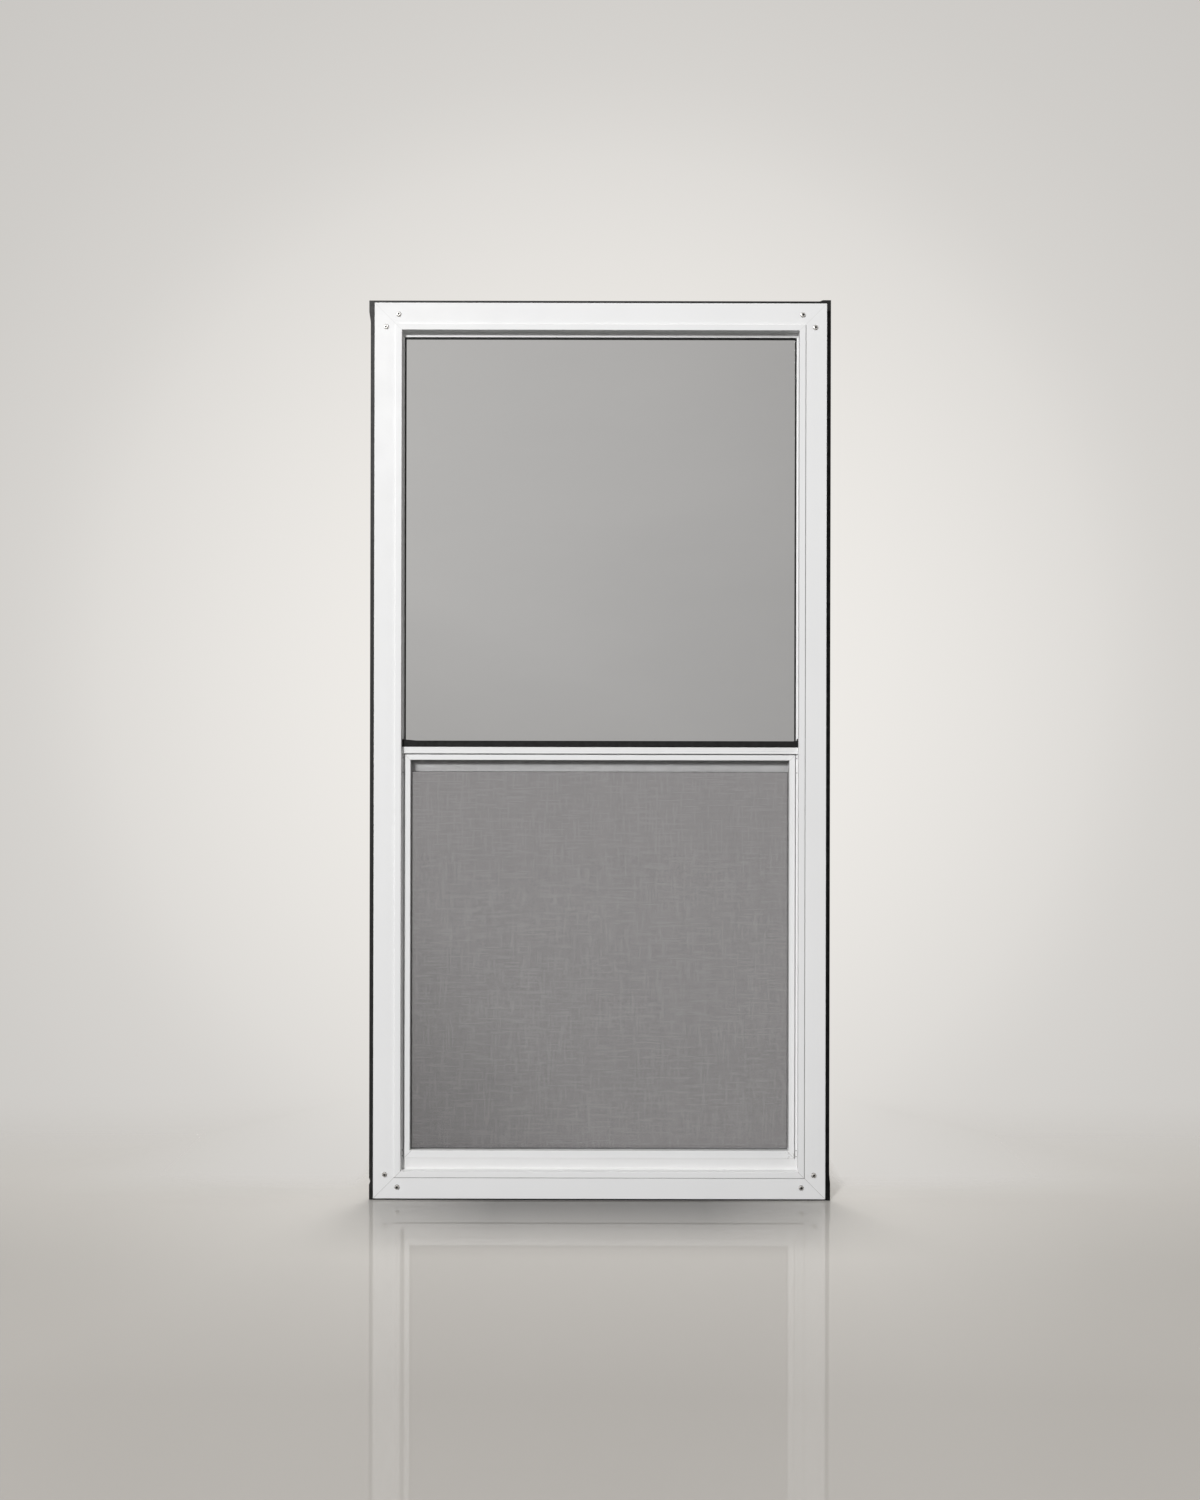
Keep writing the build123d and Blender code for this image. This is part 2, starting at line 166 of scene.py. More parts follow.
class StormStudio(bpy.types.PropertyGroup):
    """Camera, light and floor."""

    distance: length("Camera distance", "Camera to the window's face", 1.8)
    scale: bpy.props.FloatProperty(
        name="Picture scale",
        description="Millimetres of the face to a pixel of a 1500 pixel high picture",
        default=1.3482,
    )
    rise: length("Camera rise", "Camera above the window's middle", 1.35 * MM)
    roll: bpy.props.FloatProperty(
        name="Camera roll", description="Tilt of the camera", default=math.radians(-0.12), subtype="ANGLE"
    )
    key_power: power("Key", "Power of the key lamp", 447.0)
    top_power: power("Top", "Power of the top lamp", 1050.0)
    fill_power: power("Fill", "Power of the fill lamp", 15.0)
    rake_power: power("Rake", "Power of the raking lamp", 10.0)
    wash_power: power("Wash", "Power of the lamp near the left jamb", 3.6)
    back_power: power("Back", "Power of the lamp behind the window", 60.0)
    ambient: bpy.props.FloatProperty(name="Ambient", description="Strength of the surrounding light", default=0.07)
    floor_near: colour("Near floor", "Floor towards the camera", (0.352, 0.338, 0.319))
    floor_far: colour("Far floor", "Floor at the window", (0.516, 0.499, 0.474))
    floor_dull: colour("Floor bounce", "Floor as the light that bounces off it sees it", (0.09, 0.09, 0.09))


def sizes():
    return bpy.context.scene.storm_sizes


def colours():
    return bpy.context.scene.storm_colours


def studio():
    return bpy.context.scene.storm_studio


# Materials


def rgba(value):
    return (value[0], value[1], value[2], 1.0)


class Finish:
    """A Principled material with helpers for patterns on Object coordinates."""

    def __init__(self, name):
        self.material = bpy.data.materials.new(name)
        self.material.use_nodes = True
        self.tree = self.material.node_tree
        self.tree.nodes.clear()
        output = self.tree.nodes.new("ShaderNodeOutputMaterial")
        self.shader = self.tree.nodes.new("ShaderNodeBsdfPrincipled")
        self.place = self.tree.nodes.new("ShaderNodeTexCoord")
        self.link(self.shader.outputs["BSDF"], output.inputs["Surface"])

    def link(self, source, target):
        self.tree.links.new(source, target)

    def set(self, **values):
        for name, value in values.items():
            self.shader.inputs[name.replace("_", " ")].default_value = value

    def axes(self):
        """The three Object coordinates."""
        split = self.tree.nodes.new("ShaderNodeSeparateXYZ")
        self.link(self.place.outputs["Object"], split.inputs["Vector"])
        return split.outputs["X"], split.outputs["Y"], split.outputs["Z"]

    def noise(self, scale, detail=2.0, stretch=(1.0, 1.0, 1.0), steps=None):
        """Noise stretched along the axes, constant within cells of the size that steps gives."""
        mapping = self.tree.nodes.new("ShaderNodeMapping")
        mapping.inputs["Scale"].default_value = stretch
        place = self.place.outputs["Object"]
        if steps:
            cells = self.tree.nodes.new("ShaderNodeVectorMath")
            cells.operation = "SNAP"
            cells.inputs[1].default_value = steps
            self.link(place, cells.inputs[0])
            place = cells.outputs["Vector"]
        self.link(place, mapping.inputs["Vector"])
        texture = self.tree.nodes.new("ShaderNodeTexNoise")
        texture.inputs["Scale"].default_value = scale
        texture.inputs["Detail"].default_value = detail
        self.link(mapping.outputs["Vector"], texture.inputs["Vector"])
        return texture.outputs["Fac"]

    def along(self, direction, start, end, smooth=False):
        """0 to 1 along a direction, between two distances from the origin."""
        dot = self.tree.nodes.new("ShaderNodeVectorMath")
        dot.operation = "DOT_PRODUCT"
        dot.inputs[1].default_value = direction
        self.link(self.place.outputs["Object"], dot.inputs[0])
        return self.range(dot.outputs["Value"], start, end, 0.0, 1.0, smooth)

    def math(self, operation, first, second=None):
        """A Math node on sockets or values."""
        node = self.tree.nodes.new("ShaderNodeMath")
        node.operation = operation
        for value, socket in ((first, node.inputs[0]), (second, node.inputs[1])):
            if isinstance(value, bpy.types.NodeSocket):
                self.link(value, socket)
            elif value is not None:
                socket.default_value = value
        return node.outputs[0]

    def mitres(self, half_wide, half_tall, middle, half_line, deepest):
        """1 on the diagonal joint lines of a frame whose outline is given, down to a depth, 0 elsewhere."""
        x, y, z = self.axes()
        aside = self.math("ABSOLUTE", x)
        above = self.math("ABSOLUTE", self.math("SUBTRACT", z, middle))
        off = self.math("SUBTRACT", self.math("SUBTRACT", above, aside), half_tall - half_wide)
        line = self.range(self.math("ABSOLUTE", off), half_line, half_line * 1.6, 1.0, 0.0)
        front = self.range(y, deepest, deepest + SKIN, 1.0, 0.0)
        return self.math("MULTIPLY", line, front)

    def band(self, source, low, high):
        """1 between two values, 0 elsewhere."""
        return self.math("MULTIPLY", self.math("GREATER_THAN", source, low), self.math("LESS_THAN", source, high))

    def step_lines(self, line):
        """1 at the foot of the lip's step, on the right jamb and the sill, where the light leaves it dark."""
        x, y, z = self.axes()
        right, foot = FACE_RIGHT - STEP_INSET, FACE_FOOT + STEP_INSET
        tall = self.band(z, foot - line, FACE_TOP - STEP_INSET)
        upright = self.math("MULTIPLY", self.band(x, right, right + line), tall)
        wide = self.band(x, -right - line, right + line)
        level = self.math("MULTIPLY", self.band(z, foot - line, foot), wide)
        front = self.math("LESS_THAN", y, FACE_Y + SKIN)
        return self.math("MULTIPLY", self.math("MAXIMUM", upright, level), front)

    def range(self, source, low, high, to_low, to_high, smooth=False):
        """One range of values mapped to another and held at its ends."""
        node = self.tree.nodes.new("ShaderNodeMapRange")
        node.interpolation_type = "SMOOTHSTEP" if smooth else "LINEAR"
        node.inputs["From Min"].default_value = low
        node.inputs["From Max"].default_value = high
        node.inputs["To Min"].default_value = to_low
        node.inputs["To Max"].default_value = to_high
        self.link(source, node.inputs["Value"])
        return node.outputs["Result"]

    def mix(self, factor, first, second):
        """Two colours, each a value or a socket, mixed by a socket."""
        node = self.tree.nodes.new("ShaderNodeMix")
        node.data_type = "RGBA"
        self.link(factor, node.inputs[0])
        for value, socket in ((first, node.inputs[6]), (second, node.inputs[7])):
            if isinstance(value, bpy.types.NodeSocket):
                self.link(value, socket)
            else:
                socket.default_value = rgba(value)
        return node.outputs[2]

    def colour(self, source):
        self.link(source, self.shader.inputs["Base Color"])

    def roughness(self, source, low, high):
        self.link(self.range(source, 0.3, 0.7, low, high), self.shader.inputs["Roughness"])

    def bump(self, source, strength, depth):
        node = self.tree.nodes.new("ShaderNodeBump")
        node.inputs["Strength"].default_value = strength
        node.inputs["Distance"].default_value = depth
        self.link(source, node.inputs["Height"])
        self.link(node.outputs["Normal"], self.shader.inputs["Normal"])


def powder_coat(name, shift=0.0, mitred=None, recess_shade_top=None, scuffed=None):
    """White powder coat with a slow drift of tone, orange peel and specks, darkened by shift.

    mitred gives the outline whose joint lines show, and the height after it the level up to which painted shade lies
    behind the lip (painted shade then also darkens the head's leg, and a painted shadow line the foot of the lip's
    step); scuffed gives the x and z of a corner with worn paint.
    """
    made = Finish(name)
    paint = [c - shift for c in colours().paint]
    shade = [c - shift for c in colours().paint_shade]
    drift = made.range(made.noise(5.0, 3.0), 0.35, 0.65, 0.0, 1.0)
    base = made.mix(drift, paint, shade)
    specks = made.range(made.noise(330.0, 1.0), 0.80, 0.84, 0.0, 0.5)
    base = made.mix(specks, base, colours().speck_and_shade)
    x, y, z = made.axes()
    if recess_shade_top:
        # Painted shade in the sill's recess behind the lip, below the given height
        deep = made.range(y, LIP_Y + 3.0 * MM, LIP_Y + 8.0 * MM, 0.0, 0.14)
        low = made.range(z, recess_shade_top, recess_shade_top + 5.0 * MM, 1.0, 0.0)
        base = made.mix(made.math("MULTIPLY", deep, low), base, colours().speck_and_shade)
        # Painted shade on the lowest 3 mm of the head's leg, stronger to the right, dimming the strip lit below the
        # lip's shadow
        under = made.band(z, HEAD_LOW.z - SKIN, HEAD_LOW.z + 3.0 * MM)
        leg = made.math("MULTIPLY", under, made.math("GREATER_THAN", y, LIP_Y + 8.0 * MM))
        leg_shade_strength = made.range(x, -0.2, 0.2, 0.05, 0.30)
        base = made.mix(made.math("MULTIPLY", leg, leg_shade_strength), base, colours().painted_shade)
    if mitred:
        fading = made.along(UPWARD, FACE_MIDDLE * 0.5, FACE_MIDDLE * 1.5)
        strength = made.range(fading, 0.0, 1.0, 0.85, 0.3)
        base = made.mix(made.math("MULTIPLY", made.mitres(*mitred), strength), base, colours().speck_and_shade)
    # Painted shadow lines at the foot of the lip's step on the right jamb and the sill
    if recess_shade_top:
        lines = made.math("MULTIPLY", made.step_lines(sizes().step_line), 0.8)
        base = made.mix(lines, base, colours().painted_shade)
    if scuffed:
        side, foot = scuffed
        beside = made.range(x, side - 22.0 * MM, side - 8.0 * MM, 0.0, 1.0)
        low = made.range(z, foot + 7.0 * MM, foot + 10.0 * MM, 1.0, 0.0)
        scuffs = made.range(made.noise(420.0, 3.0), 0.54, 0.64, 0.0, 0.6)
        base = made.mix(made.math("MULTIPLY", made.math("MULTIPLY", beside, low), scuffs), base, colours().speck_and_shade)
    made.colour(base)
    made.roughness(made.noise(40.0, 4.0), 0.44, 0.58)
    made.bump(made.noise(620.0, 2.0), 0.10, 0.15 * MM)
    made.set(IOR=1.40)
    return made.material


def soft_strip(name, clean, worn, grain, low, high, index=1.31):
    """Rubber or vinyl with a fine grain and patches of dust."""
    made = Finish(name)
    dust = made.range(made.noise(140.0, 5.0), 0.4, 0.8, 0.0, 1.0)
    made.colour(made.mix(dust, clean, worn))
    made.roughness(made.noise(400.0, 3.0), low, high)
    made.bump(made.noise(grain, 3.0), 0.2, 0.1 * MM)
    made.set(IOR=index)
    return made.material


def black_rubber(name, grain, low, high, index=1.31):
    return soft_strip(name, colours().rubber, colours().rubber_dust_and_shade, grain, low, high, index)


def tinted_glass(name, light, dark, corner):
    """Grey tinted pane with painted shading: its tint darkens to the lower right and further in one corner, in place of
    the changing light seen in and through it, with faint wiping marks.

    corner gives the direction towards that corner, where the painted darkening starts and ends along it, and its depth.
    """
    made = Finish(name)
    # Painted shading: the tint falls from light to dark towards the lower right
    painted_falloff = made.along((0.82, 0.0, -0.57), -0.88, 0.18)
    tint = made.mix(painted_falloff, light, dark)
    direction, start, end, depth = corner
    # Painted shade, deepening towards one corner
    darker = made.math("MULTIPLY", made.along(direction, start, end), depth)
    tint = made.mix(darker, tint, BLACK)
    wiping = made.noise(3.0, 4.0, (1.0, 1.0, 3.0))
    made.colour(made.mix(made.range(wiping, 0.3, 0.7, 0.0, 0.04), tint, colours().paint))
    made.roughness(wiping, 0.0, 0.03)
    made.set(Transmission_Weight=1.0, IOR=1.5)
    return made.material


def woven_cloth(name):
    """Vinyl coated threads, some with dust, with paler lengths along single threads."""
    made = Finish(name)
    dust = made.range(made.noise(90.0, 4.0), 0.4, 0.75, 0.0, 1.0)
    base = made.mix(dust, colours().cloth, colours().cloth_worn)
    fine, drawn = 0.01 * MM, 0.065
    upright = ((1.0, 1.0, drawn), (sizes().pitch_across, fine, fine))
    level = ((drawn, 1.0, 1.0), (fine, fine, sizes().pitch_up))
    for stretch, steps in (upright, level):
        streak = made.range(made.noise(520.0, 1.0, stretch, steps), 0.55, 0.66, 0.0, 1.0)
        base = made.mix(streak, base, colours().cloth_streak)
    made.colour(base)
    made.roughness(made.noise(400.0, 2.0), 0.45, 0.65)
    made.bump(made.noise(2500.0, 1.0), 0.2, 0.05 * MM)
    return made.material


def drawn_metal(name, tone, stretch, low, high, painted_shade=None):
    """Bare metal with drawn lines, with painted shade that darkens it between two depths where these are given."""
    made = Finish(name)
    lines = made.noise(300.0, 3.0, stretch)
    darker = [0.78 * c for c in tone]
    base = made.mix(made.range(lines, 0.35, 0.65, 0.0, 1.0), tone, darker)
    if painted_shade:
        # Painted shade between the two depths
        base = made.mix(made.along(INWARD, *painted_shade), base, colours().rubber_dust_and_shade)
    made.colour(base)
    made.roughness(lines, low, high)
    made.bump(lines, 0.12, 0.05 * MM)
    made.set(Metallic=1.0)
    return made.material


def moulded_plastic(name):
    """Moulded black plastic with a spark-eroded grain."""
    made = Finish(name)
    grain = made.noise(900.0, 2.0)
    lighter = [1.8 * c for c in colours().latch]
    made.colour(made.mix(made.range(grain, 0.3, 0.7, 0.0, 1.0), colours().latch, lighter))
    made.roughness(grain, 0.4, 0.6)
    made.bump(grain, 0.2, 0.08 * MM)
    return made.material


def dress(material, *names):
    """Put one material on solids from the frame."""
    for name in names:
        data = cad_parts[name].data
        data.materials.clear()
        data.materials.append(material)


def four(stem):
    return [stem + "_" + side for side in SIDES]


# Meshes and node trees


def settle(name, data):
    """Link a finished mesh as a piece of the window."""
    if not data.polygons:
        raise RuntimeError(name + " came out empty")
    piece = bpy.data.objects.new(name, data)
    bpy.context.scene.collection.objects.link(piece)
    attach(piece, BODY)
    return piece


def node_tree(name, inputs):
    """A geometry tree with named inputs; gives the tree, its ends and the inputs' identifiers."""
    tree = bpy.data.node_groups.new(name, "GeometryNodeTree")
    tree.interface.new_socket("Geometry", in_out="INPUT", socket_type="NodeSocketGeometry")
    keys = {}
    for label, kind in inputs:
        keys[label] = tree.interface.new_socket(label, in_out="INPUT", socket_type=kind).identifier
    tree.interface.new_socket("Geometry", in_out="OUTPUT", socket_type="NodeSocketGeometry")
    start = tree.nodes.new("NodeGroupInput")
    end = tree.nodes.new("NodeGroupOutput")
    return tree, start, end, keys


def realized(tree, source, start, end):
    """Close a tree: real geometry, then its material."""
    realize = tree.nodes.new("GeometryNodeRealizeInstances")
    painted = tree.nodes.new("GeometryNodeSetMaterial")
    tree.links.new(source, realize.inputs["Geometry"])
    tree.links.new(realize.outputs["Geometry"], painted.inputs["Geometry"])
    tree.links.new(start.outputs["Material"], painted.inputs["Material"])
    tree.links.new(painted.outputs["Geometry"], end.inputs["Geometry"])


def grown(name, points, tree, keys, values):
    """Run a tree on a set of points and return a plain mesh."""
    seed = bpy.data.meshes.new(name + "_points")
    seed.from_pydata(points, [], [])
    holder = bpy.data.objects.new(name + "_holder", seed)
    bpy.context.scene.collection.objects.link(holder)
    modifier = holder.modifiers.new(name, "NODES")
    modifier.node_group = tree
    for label, value in values.items():
        modifier[keys[label]] = value
    graph = bpy.context.evaluated_depsgraph_get()
    data = bpy.data.meshes.new_from_object(holder.evaluated_get(graph), depsgraph=graph)
    data.name = name
    holder.modifiers.remove(modifier)
    bpy.data.objects.remove(holder)
    return data


def scattered(name, points, source, material, seed):
    """Copies of a small mesh on points, each turned about the depth axis by a fixed random angle."""
    tree, start, end, keys = node_tree(
        name + "_tree",
        [
            ("Part", "NodeSocketObject"),
            ("Turn", "NodeSocketFloat"),
            ("Seed", "NodeSocketInt"),
            ("Material", "NodeSocketMaterial"),
        ],
    )
    info = tree.nodes.new("GeometryNodeObjectInfo")
    turn = tree.nodes.new("ShaderNodeCombineXYZ")
    spread = tree.nodes.new("FunctionNodeRandomValue")
    place = tree.nodes.new("GeometryNodeInstanceOnPoints")
    spread.data_type = "FLOAT_VECTOR"
    tree.links.new(start.outputs["Part"], info.inputs["Object"])
    tree.links.new(start.outputs["Turn"], turn.inputs["Y"])
    tree.links.new(turn.outputs["Vector"], spread.inputs["Max"])
    spread.inputs["Min"].default_value = (0.0, 0.0, 0.0)
    tree.links.new(start.outputs["Seed"], spread.inputs["Seed"])
    tree.links.new(start.outputs["Geometry"], place.inputs["Points"])
    tree.links.new(info.outputs["Geometry"], place.inputs["Instance"])
    tree.links.new(spread.outputs["Value"], place.inputs["Rotation"])
    realized(tree, place.outputs["Instances"], start, end)
    values = {"Part": source, "Turn": 2.0 * math.pi, "Seed": seed, "Material": material}
    data = grown(name, points, tree, keys, values)
    bpy.data.objects.remove(source)
    return data


def turned(profile, segments):
    """A closed round mesh about the depth axis from (radius, depth) pairs, front first."""
    mesh = bmesh.new()
    rings = []
    for radius, depth in profile:
        if radius == 0.0:
            rings.append([mesh.verts.new((0.0, depth, 0.0))])
            continue
        ring = []
        for step in range(segments):
            angle = 2.0 * math.pi * step / segments
            ring.append(mesh.verts.new((radius * math.cos(angle), depth, radius * math.sin(angle))))
        rings.append(ring)
    for front, back in zip(rings, rings[1:]):
        for step in range(segments):
            after = (step + 1) % segments
            corners = [front[step % len(front)], front[after % len(front)]]
            corners += [back[after % len(back)], back[step % len(back)]]
            mesh.faces.new(list(dict.fromkeys(corners)))
    return mesh


def as_source(name, mesh):
    """A loose object for a tree to copy."""
    bmesh.ops.remove_doubles(mesh, verts=mesh.verts, dist=1e-7)
    bmesh.ops.recalc_face_normals(mesh, faces=mesh.faces)
    data = bpy.data.meshes.new(name)
    mesh.to_mesh(data)
    mesh.free()
    source = bpy.data.objects.new(name, data)
    bpy.context.scene.collection.objects.link(source)
    return source


def cross_outline(arm, half):
    """The twelve points of a cross recess, arms and half width in metres."""
    quarter = [(half, arm), (-half, arm), (-half, half)]
    points = []
    for turn in range(4):
        angle = turn * math.pi / 2.0
        for x, z in quarter:
            points.append((x * math.cos(angle) - z * math.sin(angle), x * math.sin(angle) + z * math.cos(angle)))
    return points


def pan_screw():
    """A pan-head screw with a cross recess, its seat at depth 0 and its head towards the front."""
    head = sizes().screw_head / 2.0
    rise = sizes().screw_rise
    shank = sizes().screw_shank / 2.0
    tip = sizes().screw_reach
    profile = [
        (head * 0.58, -rise),
        (head * 0.80, -rise * 0.90),
        (head * 0.94, -rise * 0.66),
        (head, -rise * 0.34),
        (head, 0.0),
        (shank, 0.0),
        (shank, tip - 0.8 * MM),
        (shank * 0.5, tip),
        (0.0, tip),
    ]
    mesh = turned(profile, SCREW_SEGMENTS)
    rim = [edge for edge in mesh.edges if edge.is_boundary]
    outline = cross_outline(head * 0.52, head * 0.21)
    mouth = [mesh.verts.new((x, -rise, z)) for x, z in outline]
    floor = [mesh.verts.new((x * 0.6, 0.5 * MM, z * 0.6)) for x, z in outline]
    count = len(outline)
    lip = [mesh.edges.new((mouth[i], mouth[(i + 1) % count])) for i in range(count)]
    bmesh.ops.triangle_fill(mesh, edges=rim + lip, use_beauty=True)
    for i in range(count):
        after = (i + 1) % count
        mesh.faces.new((mouth[i], mouth[after], floor[after], floor[i]))
    mesh.faces.new(floor)
    return as_source("pan_screw", mesh)


def screw_points():
    """Two screws at each corner, on the face."""
    across, along = sizes().screw_across, sizes().screw_along
    points = []
    for x, inward in ((FACE_LEFT, 1.0), (FACE_RIGHT, -1.0)):
        for z, upward in ((FACE_FOOT, 1.0), (FACE_TOP, -1.0)):
            points.append((x + inward * along, FACE_Y, z + upward * across))
            points.append((x + inward * across, FACE_Y, z + upward * along))
    return points


def pin_points():
    """Four small pins on each jamb leg, two beside each corner of the screen."""
    leg = LIP_Y + REVEAL_DEPTH
    heights = (CLOTH_HIGH.z + 0.8 * MM, CLOTH_HIGH.z - 18.8 * MM, CLOTH_LOW.z + 2.6 * MM, CLOTH_LOW.z - 5.4 * MM)
    inset = LIP_INSET + 1.25 * MM
    return [(x, leg, z) for x in (FACE_LEFT + inset, FACE_RIGHT - inset) for z in heights]


def cloth_mesh(material):
    """Upright and level threads of the insect cloth, crossing at its plane."""
    made = sizes()
    tree, start, end, keys = node_tree(
        "insect_cloth_tree",
        [
            ("Thread", "NodeSocketFloat"),
            ("Upright Count", "NodeSocketInt"),
            ("Upright Start", "NodeSocketVector"),
            ("Upright Step", "NodeSocketVector"),
            ("Upright Length", "NodeSocketFloat"),
            ("Level Count", "NodeSocketInt"),
            ("Level Start", "NodeSocketVector"),
            ("Level Step", "NodeSocketVector"),
            ("Level Length", "NodeSocketFloat"),
            ("Material", "NodeSocketMaterial"),
        ],
    )
    join = tree.nodes.new("GeometryNodeJoinGeometry")
    radius = tree.nodes.new("ShaderNodeMath")
    radius.operation = "MULTIPLY"
    radius.inputs[1].default_value = 0.5
    tree.links.new(start.outputs["Thread"], radius.inputs[0])
    for label, turn in (("Upright", 0.0), ("Level", math.pi / 2.0)):
        line = tree.nodes.new("GeometryNodeMeshLine")
        thread = tree.nodes.new("GeometryNodeMeshCylinder")
        place = tree.nodes.new("GeometryNodeInstanceOnPoints")
        thread.inputs["Vertices"].default_value = THREAD_SIDES
        tree.links.new(start.outputs[label + " Count"], line.inputs["Count"])
        tree.links.new(start.outputs[label + " Start"], line.inputs["Start Location"])
        tree.links.new(start.outputs[label + " Step"], line.inputs["Offset"])
        tree.links.new(radius.outputs[0], thread.inputs["Radius"])
        tree.links.new(start.outputs[label + " Length"], thread.inputs["Depth"])
        tree.links.new(line.outputs["Mesh"], place.inputs["Points"])
        tree.links.new(thread.outputs["Mesh"], place.inputs["Instance"])
        place.inputs["Rotation"].default_value = (0.0, turn, 0.0)
        tree.links.new(place.outputs["Instances"], join.inputs["Geometry"])
    realized(tree, join.outputs["Geometry"], start, end)
    wide = CLOTH_HIGH.x - CLOTH_LOW.x
    tall = CLOTH_HIGH.z - CLOTH_LOW.z
    middle = (CLOTH_LOW.y + CLOTH_HIGH.y) / 2.0
    upright = int(wide / made.pitch_across)
    level = int(tall / made.pitch_up)
    first_x = (CLOTH_LOW.x + CLOTH_HIGH.x - (upright - 1) * made.pitch_across) / 2.0
    first_z = (CLOTH_LOW.z + CLOTH_HIGH.z - (level - 1) * made.pitch_up) / 2.0
    shift = made.thread * 0.3
    values = {
        "Thread": made.thread,
        "Upright Count": upright,
        "Upright Start": (first_x, middle - shift, (CLOTH_LOW.z + CLOTH_HIGH.z) / 2.0),
        "Upright Step": (made.pitch_across, 0.0, 0.0),
        "Upright Length": tall,
        "Level Count": level,
        "Level Start": ((CLOTH_LOW.x + CLOTH_HIGH.x) / 2.0, middle + shift, first_z),
        "Level Step": (0.0, 0.0, made.pitch_up),
        "Level Length": wide,
        "Material": material,
    }
    return grown("insect_cloth", [(0.0, 0.0, 0.0)], tree, keys, values)


# Operators


class STORM_OT_frame(bpy.types.Operator):
    """Powder coat the main frame and the meeting bar, and leave the corner keys bare"""

    bl_idname = "storm.frame"
    bl_label = "Frame"

    def execute(self, context):
        outline = (FACE_RIGHT, FACE_MIDDLE, FACE_MIDDLE, sizes().joint_line, FACE_Y + SKIN)
        # Painted shade behind the sill's lip up to 5 mm above the sill, and on the head's leg and the lip's step
        coat = powder_coat("frame_powder_coat", mitred=outline, recess_shade_top=SILL_HIGH.z + 5.0 * MM)
        dress(coat, "frame_head", "frame_sill", "frame_jamb_left", "frame_jamb_right", "meeting_bar")
        mill = drawn_metal("corner_key_mill", colours().mill, (1.0, 1.0, 12.0), 0.30, 0.48)
        dress(mill, *[stem + side for stem in ("corner_key_top_", "corner_key_bottom_") for side in ("left", "right")])
        return {"FINISHED"}


class STORM_OT_seals(bpy.types.Operator):
    """Black rubber on the wall seal and the meeting bar's seal"""

    bl_idname = "storm.seals"
    bl_label = "Seals"

    def execute(self, context):
        dress(black_rubber("wall_seal_rubber", 500.0, 0.42, 0.52), *four("wall_seal"))
        dress(black_rubber("wall_seal_matt", 500.0, 0.7, 0.8, 1.08), "wall_seal_right")
        dress(black_rubber("meeting_seal_rubber", 700.0, 0.6, 0.8), "meeting_bar_seal")
        return {"FINISHED"}


class STORM_OT_glazing(bpy.types.Operator):
    """Tinted panes and their gaskets"""

    bl_idname = "storm.glazing"
    bl_label = "Glazing"

    def execute(self, context):
        tones = colours()
        # Corners of painted shade: direction, start, end and depth
        corner = ((-0.45, 0.0, -0.89), -0.62, -0.467, 0.10)
        dress(tinted_glass("upper_glass", tones.glass_light, tones.glass_dark, corner), "upper_glass")
        corner = ((-0.8, 0.0, -0.6), -0.05, 0.14, 0.28)
        dress(tinted_glass("sash_glass", tones.sash_glass_light, tones.sash_glass_dark, corner), "sash_glass")
        dress(black_rubber("gasket_rubber", 900.0, 0.4, 0.6), *four("upper_gasket"))
        vinyl = soft_strip("glazing_vinyl", tones.vinyl, tones.vinyl_worn, 900.0, 0.4, 0.6)
        dress(vinyl, *four("sash_gasket"))
        return {"FINISHED"}


class STORM_OT_screen(bpy.types.Operator):
    """Screen rails, spline and the woven insect cloth"""

    bl_idname = "storm.screen"
    bl_label = "Screen"

    def execute(self, context):
        low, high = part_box("screen_rail_bottom")
        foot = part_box("screen_rail_left")[0].z
        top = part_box("screen_rail_left")[1].z
        outline = (high.x, (top - foot) / 2.0, (top + foot) / 2.0, sizes().joint_line, low.y + 1.0 * MM)
        coat = powder_coat("screen_powder_coat", 0.01, outline, scuffed=(high.x, foot))
        dress(coat, *four("screen_rail"))
        dress(black_rubber("spline_rubber", 1200.0, 0.5, 0.7), *four("screen_spline"))
        cloth = settle("insect_cloth", cloth_mesh(woven_cloth("insect_cloth_threads")))
        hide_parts("screen_mesh")
        return {"FINISHED"}


class STORM_OT_sash(bpy.types.Operator):
    """Inner sash rails and latches"""

    bl_idname = "storm.sash"
    bl_label = "Inner sash"

    def execute(self, context):
        dress(powder_coat("sash_powder_coat", 0.015), *four("sash_rail"))
        dress(moulded_plastic("latch_plastic"), "sash_latch_left", "sash_latch_right")
        return {"FINISHED"}


class STORM_OT_fastenings(bpy.types.Operator):
    """Corner screws and the small pins on the jambs"""

    bl_idname = "storm.fastenings"
    bl_label = "Fastenings"

    def execute(self, context):
        # Painted shade: each screw's recess and the foot of its head darken from 1.2 mm in front of the face, fully
        # from 0.2 mm in front of it to the seat
        painted_shade = (FACE_Y - 1.2 * MM, FACE_Y - 0.2 * MM)
        zinc = drawn_metal("screw_zinc", colours().zinc, (1.0, 1.0, 1.0), 0.25, 0.42, painted_shade)
        screws = scattered("corner_screws", screw_points(), pan_screw(), zinc, SCREW_SEED)
        settle("corner_screws", screws)
        head = sizes().pin_head / 2.0
        profile = [(0.0, -0.7 * MM), (head * 0.5, -0.62 * MM), (head * 0.9, -0.3 * MM), (head, 0.0), (0.0, 0.3 * MM)]
        pin = as_source("jamb_pin", turned(profile, PIN_SEGMENTS))
        pins = scattered("jamb_pins", pin_points(), pin, moulded_plastic("pin_plastic"), PIN_SEED)
        settle("jamb_pins", pins)
        return {"FINISHED"}


# Stage


